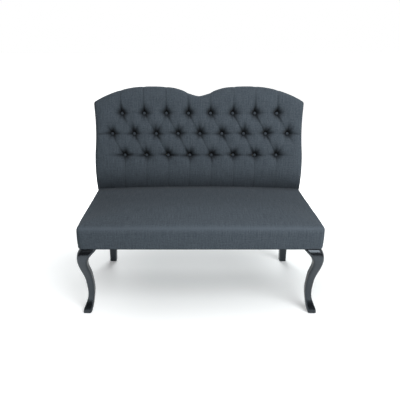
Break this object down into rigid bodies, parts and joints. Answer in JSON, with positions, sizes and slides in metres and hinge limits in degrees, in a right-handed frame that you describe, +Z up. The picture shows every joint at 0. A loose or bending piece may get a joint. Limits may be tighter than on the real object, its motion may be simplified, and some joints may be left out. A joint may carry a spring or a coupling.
{
  "type": "upholstered bench",
  "caption": "Upholstered bench for two with a deep-buttoned double-hump back, crowned seat, curved front legs and straight rear legs.",
  "frame": {"origin": "on the floor under the centre of the overall box", "axes": "+Z up, the front faces -Y, +X to the right of someone who looks at the front"},
  "size_m": [1.238, 0.7189, 1.0845],
  "materials": {
    "slate_linen": "slubby plain-weave upholstery linen, matt",
    "black_lacquer": "black satin lacquer on beech",
    "beech": "planed, unfinished",
    "birch_plywood": "sanded plywood, unfinished",
    "foam": "open-cell upholstery foam",
    "wadding": "bonded polyester wadding",
    "felt": "needled spring felt",
    "dust_cloth": "black non-woven dust cloth",
    "twine": "waxed buttoning twine",
    "spring_steel": "oil-tempered spring wire",
    "zinc_steel": "bright zinc plate",
    "nylon": "moulded black nylon"
  },
  "bodies": {
    "root": {"seat_cover": "slate_linen", "back_cover": "slate_linen", "outside_back_panel": "slate_linen", "tuft_buttons": "slate_linen", "front_left_leg": "black_lacquer", "front_right_leg": "black_lacquer", "rear_left_leg": "black_lacquer", "rear_right_leg": "black_lacquer", "front_seat_rail": "beech", "rear_seat_rail": "beech", "left_seat_rail": "beech", "right_seat_rail": "beech", "seat_cross_rail": "beech", "front_left_corner_block": "beech", "front_right_corner_block": "beech", "rear_left_corner_block": "beech", "rear_right_corner_block": "beech", "left_back_post": "beech", "right_back_post": "beech", "left_back_stile": "beech", "right_back_stile": "beech", "back_top_rail": "beech", "back_lower_rail": "beech", "frame_dowels": "beech", "tufting_board": "birch_plywood", "seat_foam": "foam", "back_foam": "foam", "seat_wadding": "wadding", "back_wadding": "wadding", "spring_felt": "felt", "dust_cover": "dust_cloth", "button_ties": "twine", "seat_springs": "spring_steel", "spring_clips": "zinc_steel", "leg_bolts": "zinc_steel", "leg_bolt_washers": "zinc_steel", "leg_bolt_nuts": "zinc_steel", "corner_block_screws": "zinc_steel", "board_screws": "zinc_steel", "post_bolts": "zinc_steel", "barrel_nuts": "zinc_steel", "dust_cover_staples": "zinc_steel", "tie_toggles": "nylon", "front_left_glide": "nylon", "front_right_glide": "nylon", "rear_left_glide": "nylon", "rear_right_glide": "nylon"}
  },
  "joints": []
}
